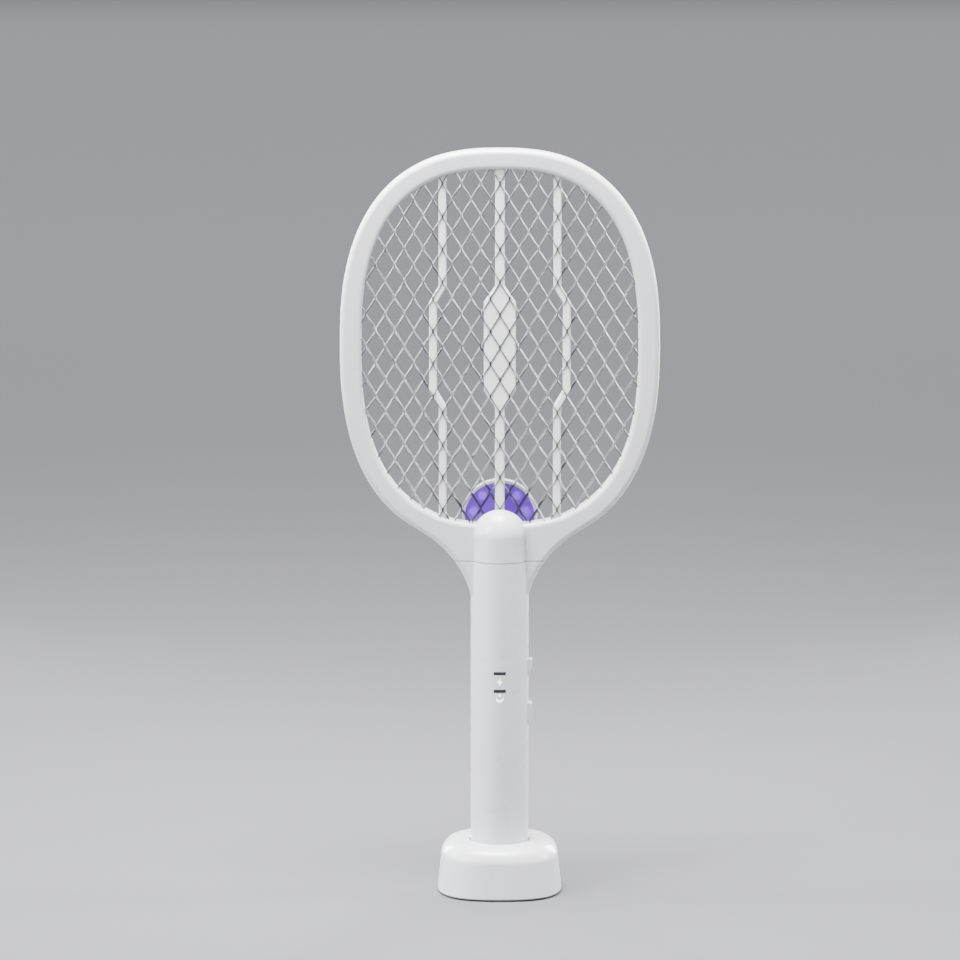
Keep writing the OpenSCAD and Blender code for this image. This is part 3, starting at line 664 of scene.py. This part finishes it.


# ---- Indicator windows and their marks ----
# Two smoked light pipes end flush with the front of the handle. Under each, a small raised mark
# is moulded in clear white: a bolt for the live net, and a moon with a star for the lamp alone. The marks glow
# with a painted highlight, though no lamp lies behind them.

smoked = surface("smoked_window", (0.035, 0.035, 0.042), (0.02, 0.02, 0.026), 0.14, patch=90)
# The marks' glow is a painted highlight: no lamp lies behind them.
mark_painted_glow = glowing("mark_painted_glow", (0.92, 0.93, 0.97), 2.5, 0.25)
repaint("indicator_light_pipes", smoked)


def arc(x, z, r, start, stop, steps=24):
    """Points on a circle in X and Z, from one angle in degrees to another."""
    turns = [math.radians(start + (stop - start) * k / steps) for k in range(steps + 1)]
    return [(x + r * math.cos(t), z + r * math.sin(t)) for t in turns]


def raised_mark(name, middle_z, outlines):
    """Outlines in X and Z, in millimetres, raised a little from the round handle."""
    bars = [loft(name, [[(x / 1000, y, middle_z + z / 1000) for x, z in outline] for y in (-0.0175, -0.014)],
                 closed=False) for outline in outlines]
    mark = bars[0]
    for other in bars[1:]:
        combine(mark, other, "UNION")
    skin = turned([(0, 0.09), (handle_r + 0.00012, 0.09), (handle_r + 0.00012, 0.13), (0, 0.13)], 256)
    combine(skin, turned([(0, 0.08), (handle_r - 0.0001, 0.08), (handle_r - 0.0001, 0.14), (0, 0.14)], 256))
    combine(mark, skin, "INTERSECT")
    return finish(mark, name, "swatter", mark_painted_glow)


raised_mark("bolt_mark", 0.1234, [[(0.5, 2.6), (-1.6, -0.35), (-0.25, -0.35), (-0.6, -2.6),
                                   (1.6, 0.55), (0.25, 0.55)]])
raised_mark("moon_mark", 0.1138, [arc(0, 0, 2.1, 142, 398) + arc(0, 0.9, 1.7, 13.4, -193.4)[1:-1],
                                  arc(0, 2.0, 0.62, 0, 345, 23)])


# ---- Mode slider and press button ----
# On the right side of the handle a stepped slider picks the mode and a sloped button arms the net;
# both are white, glossier than the shells, and stand about 2 mm proud.

control_abs = surface("control_abs", (0.70, 0.70, 0.72), (0.67, 0.67, 0.69), 0.22, pores=1800)
softened("mode_slider_knob", "mode_slider", 0.00045, "slider", control_abs, 4)
softened("press_button", "zap_press_button", 0.0005, "zap_button", control_abs, 4)


# ---- Dock ----
# A squarish white shell stands on the table; its sides lean in and roll over into a round top.
# The swatter's handle drops into a deep socket with a rounded mouth; the lead goes in behind.

dock_wide, dock_deep, dock_high = 0.071, 0.069, 0.0295
dock_round, dock_draft, dock_wall, dock_n = 0.010, 0.002, 0.0022, 2.7
dock_rim_z, dock_edge = 0.0008, 0.001
socket_r, socket_floor = 0.0171, 0.011
inlet_wide, inlet_high, inlet_z = 0.009, 0.0032, 0.007
mouth_round = 0.0016
dock_screw_places = [(x, y) for x in (-0.022, 0.022) for y in (-0.0195, 0.0195)]
pin_x = 0.0055


def dock_ring(inset, z, steps=200):
    """The dock's outline at one height: a superellipse moved in by inset."""
    turns = [2 * math.pi * i / steps for i in range(steps)]
    return [((dock_wide / 2 - inset) * power(math.cos(t), 2 / dock_n),
             (dock_deep / 2 - inset) * power(math.sin(t), 2 / dock_n), z) for t in turns]


def dock_top(inset, step):
    """Rings over the round top edge, for the skin or for a surface that lies inset within it."""
    turns = [math.radians(a) for a in range(0, 91, step)]
    r = dock_round - inset
    return [dock_ring(dock_draft + inset + r * (1 - math.cos(a)), dock_high - inset - r * (1 - math.sin(a)))
            for a in turns]


turns = [math.radians(a) for a in range(0, 91, 15)]
foot = [dock_ring(dock_edge * (1 - math.sin(t)), dock_rim_z + dock_edge * (1 - math.cos(t))) for t in turns]
dock = loft("dock", foot + dock_top(0, 6), closed=False)
hollow = loft("hollow", [dock_ring(dock_wall, dock_rim_z - 0.001)] + dock_top(dock_wall, 10), closed=False)
combine(hollow, turned([(0, 0.009), (0.0191, 0.009), (0.0191, 0.04), (0, 0.04)]))
for x, y in dock_screw_places:
    combine(hollow, turned([(0, 0.0034), (0.003, 0.0034), (0.003, 0.04), (0, 0.04)], 48, (x, y, 0)))
combine(dock, hollow)
turns = [math.radians(a) for a in range(0, 91, 10)]
mouth = [(socket_r + mouth_round * (1 - math.cos(t)), dock_high - mouth_round + mouth_round * math.sin(t))
         for t in turns]
combine(dock, turned([(0, socket_floor), (socket_r, socket_floor)] + mouth
                     + [(socket_r + mouth_round, 0.032), (0, 0.032)], 160))
for x in (-pin_x, pin_x):
    combine(dock, turned([(0, 0.007), (0.00135, 0.007), (0.00135, 0.0107), (0.0017, 0.0112), (0, 0.0112)],
                         48, (x, 0, 0)))
for x, y in dock_screw_places:
    combine(dock, turned([(0, 0), (0.00115, 0), (0.00115, 0.013), (0, 0.013)], 32, (x, y, 0)))
slot_round = inlet_high / 2
slot_half = inlet_wide / 2 - slot_round
slot_r = slot_round + 0.0003
slot_edge = arc(slot_half, inlet_z, slot_r, -90, 90, 12) + arc(-slot_half, inlet_z, slot_r, 90, 270, 12)
combine(dock, loft("slot", [[(x, y, z) for x, z in slot_edge] for y in (0.0275, 0.04)], closed=False))
finish(dock, "dock_housing", "dock", white_abs, ["dock_shell"])


# ---- Dock base ----
# A flat plate closes the dock from below, held by four screws, with a grey rubber pad stuck in
# the middle of it so that the dock doesn't slide.

foot_rubber = surface("foot_rubber", (0.10, 0.10, 0.105), (0.075, 0.075, 0.08), 0.75, patch=120, grain=0.00006,
                      pores=2200)
softened("dock_base_plate", "dock_plate", 0.0003, "dock", white_abs, 2, 50)
softened("dock_foot_pad", "dock_pad", 0.0003, "dock", foot_rubber, 2, 50)
softened("dock_screws", "dock_plate_screws", 0.00012, "dock", screw_steel, 2)


# ---- Charging parts of the dock ----
# A small green board under the socket carries the folded steel sleeve of the inlet, at the back,
# and the two sprung pins, turned and gilt, in their pressed-in barrels.

inlet_steel = surface("inlet_steel", (0.58, 0.58, 0.60), (0.45, 0.45, 0.48), 0.26, metal=1.0, patch=220,
                      grain=0.000008, pores=2600)
repaint("dock_board", board_green)
softened("dock_usb_inlet", "charging_inlet_sleeve", 0.0001, "dock", inlet_steel, 2, 50)
repaint("dock_pin_barrels", contact_gilt)
softened("charge_pin_left", "left_charge_pin", 0.0003, "left_pin", contact_gilt, 4, 50)
softened("charge_pin_right", "right_charge_pin", 0.0003, "right_pin", contact_gilt, 4, 50)


# ---- Cell, board and wiring inside the handle ----
# A sleeved cell, the board with its step-up transformer, film capacitor, coil, chips, the two
# switches and two lamps, and soft insulated leads to the contacts, the nets and the violet lamp.

def insulation(name, light):
    """Soft wire insulation: even colour, faintly uneven and slightly waxy."""
    return surface(name, light, tuple(0.75 * c for c in light), 0.42, patch=200, grain=0.00002, pores=1500)


red_insulation = insulation("red_insulation", (0.55, 0.03, 0.03))
black_insulation = insulation("black_insulation", (0.03, 0.03, 0.03))
inside = {
    "battery_cell": surface("cell_sleeve", (0.03, 0.20, 0.52), (0.02, 0.15, 0.42), 0.25, patch=60),
    "battery_tabs": surface("nickel_tab", (0.62, 0.60, 0.56), (0.50, 0.48, 0.45), 0.32, metal=1.0, patch=200),
    "main_board": board_green,
    "step_up_transformer": surface("yellow_tape", (0.80, 0.55, 0.06), (0.70, 0.46, 0.04), 0.38, patch=120),
    "high_voltage_capacitor": surface("red_film", (0.42, 0.05, 0.04), (0.33, 0.035, 0.03), 0.30, patch=120),
    "board_components": surface("dark_can", (0.06, 0.06, 0.07), (0.04, 0.04, 0.05), 0.35, patch=150),
    "board_chips": surface("chip_resin", (0.03, 0.03, 0.032), (0.02, 0.02, 0.022), 0.55,
                           patch=150, grain=0.00004),
    "slide_switch_housing": surface("switch_can", (0.60, 0.60, 0.61), (0.50, 0.50, 0.52), 0.33,
                                    metal=1.0, patch=180),
    "slide_switch_lever": surface("switch_black", (0.035, 0.035, 0.035), (0.025, 0.025, 0.025), 0.45,
                                  patch=150),
    "press_switch_housing": surface("switch_resin", (0.04, 0.04, 0.04), (0.028, 0.028, 0.028), 0.50, patch=150),
    "press_switch_plunger": surface("switch_nylon", (0.78, 0.77, 0.72), (0.70, 0.69, 0.64), 0.45, patch=150),
    "indicator_leds": surface("lamp_resin", (0.80, 0.74, 0.45), (0.72, 0.66, 0.38), 0.25, patch=300),
    "battery_lead_red": red_insulation,
    "battery_lead_black": black_insulation,
    "charge_leads": insulation("orange_insulation", (0.75, 0.27, 0.03)),
    "high_voltage_leads": red_insulation,
    "lamp_leads": black_insulation,
}
for node, material in inside.items():
    repaint(node, material)
